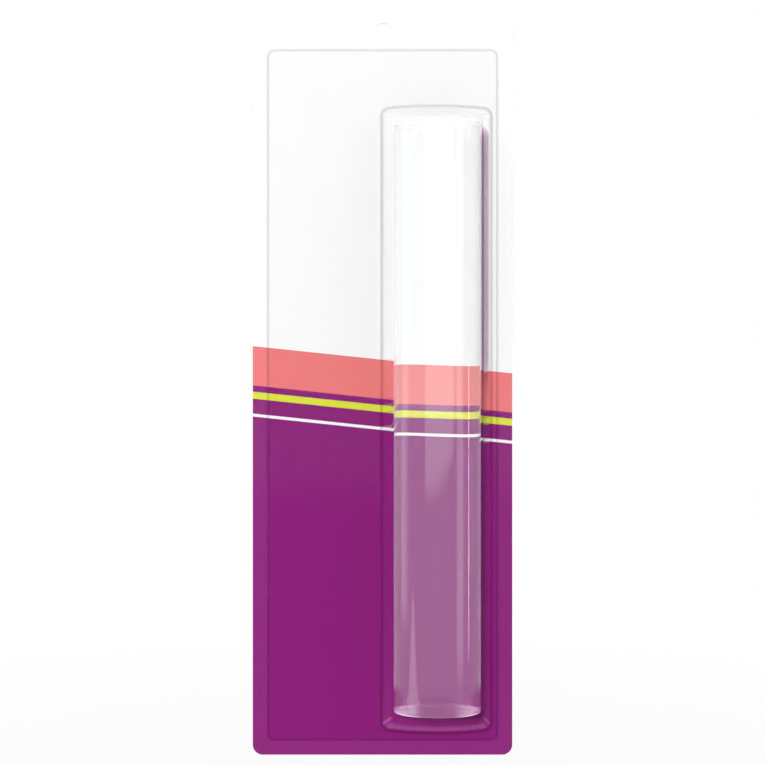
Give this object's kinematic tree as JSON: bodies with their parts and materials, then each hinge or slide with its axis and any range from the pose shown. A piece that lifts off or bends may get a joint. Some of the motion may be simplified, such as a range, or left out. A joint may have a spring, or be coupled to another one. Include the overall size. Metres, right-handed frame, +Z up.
{
  "type": "acrylic clay roller",
  "caption": "Solid clear acrylic rolling rod for clay, held upright in a clear formed blister sealed to a printed hang card; the rod turns in its pocket.",
  "frame": {"origin": "middle of the card's hang hole, on the card's printed face", "axes": "+Z up the card, +X to the right of someone who looks at the printed face, which looks along -Y"},
  "size_m": [0.09, 0.0319, 0.257],
  "materials": {
    "printed_board": "coated board, white above and purple below, with plain coral, lime and white bands where they meet; bare board on the back",
    "clear_film": "clear thermoformed sheet, glossy",
    "clear_acrylic": "clear cast acrylic, polished, with a faint haze"
  },
  "bodies": {
    "pack": {"backing_card": "printed_board", "blister": "clear_film"},
    "roller": {"roller": "clear_acrylic"}
  },
  "joints": [
    {"name": "roller_spin", "type": "hinge", "parent": "pack", "child": "roller", "pos_m": [0.0186, -0.0151, -0.1332], "axis": [0, 0, 1], "continuous": true}
  ]
}
